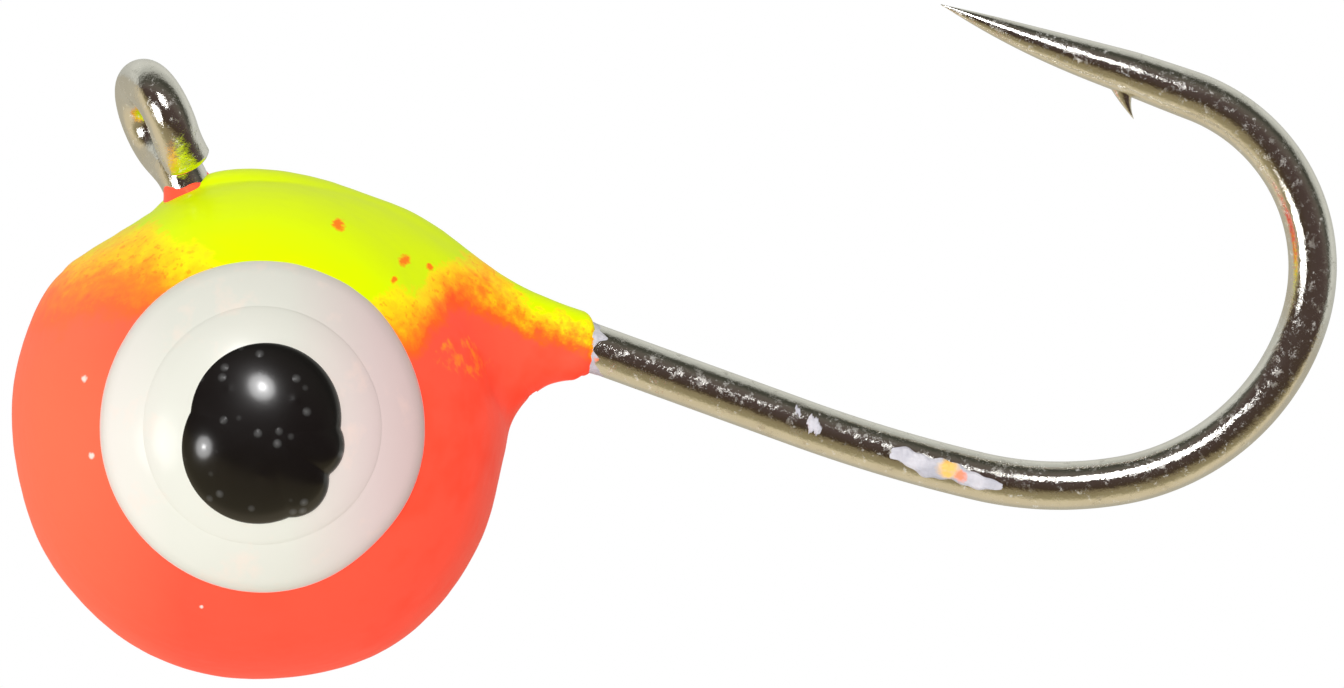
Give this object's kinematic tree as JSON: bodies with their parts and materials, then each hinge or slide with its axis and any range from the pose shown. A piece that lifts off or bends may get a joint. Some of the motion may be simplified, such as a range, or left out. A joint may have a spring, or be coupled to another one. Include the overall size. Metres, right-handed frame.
{
  "type": "jig head",
  "caption": "Ball-shaped jig head with a short collar on a light-wire hook, painted orange and chartreuse, with a raised eye on each side.",
  "frame": {"origin": "centre of the line eye", "axes": "+X along the shank towards the bend, +Z to the side the hook point is on"},
  "size_m": [0.0139, 0.006, 0.0103],
  "materials": {
    "nickel_wire": "bright nickel plate, lightly pitted",
    "lead": "dull cast lead",
    "white_primer": "matt white base coat",
    "orange_paint": "glossy fluorescent orange-red paint",
    "chartreuse_paint": "glossy fluorescent chartreuse paint",
    "eye_white_paint": "glossy off-white paint",
    "black_paint": "glossy black paint"
  },
  "bodies": {
    "root": {"hook": "nickel_wire", "lead_core": "lead", "primer_coat": "white_primer", "orange_coat": "orange_paint", "chartreuse_coat": "chartreuse_paint", "eye_white_left": "eye_white_paint", "eye_white_right": "eye_white_paint", "eye_inner_left": "eye_white_paint", "eye_inner_right": "eye_white_paint", "pupil_left": "black_paint", "pupil_right": "black_paint", "stem_paint_ring": "orange_paint", "shank_paint": "white_primer"}
  },
  "joints": []
}
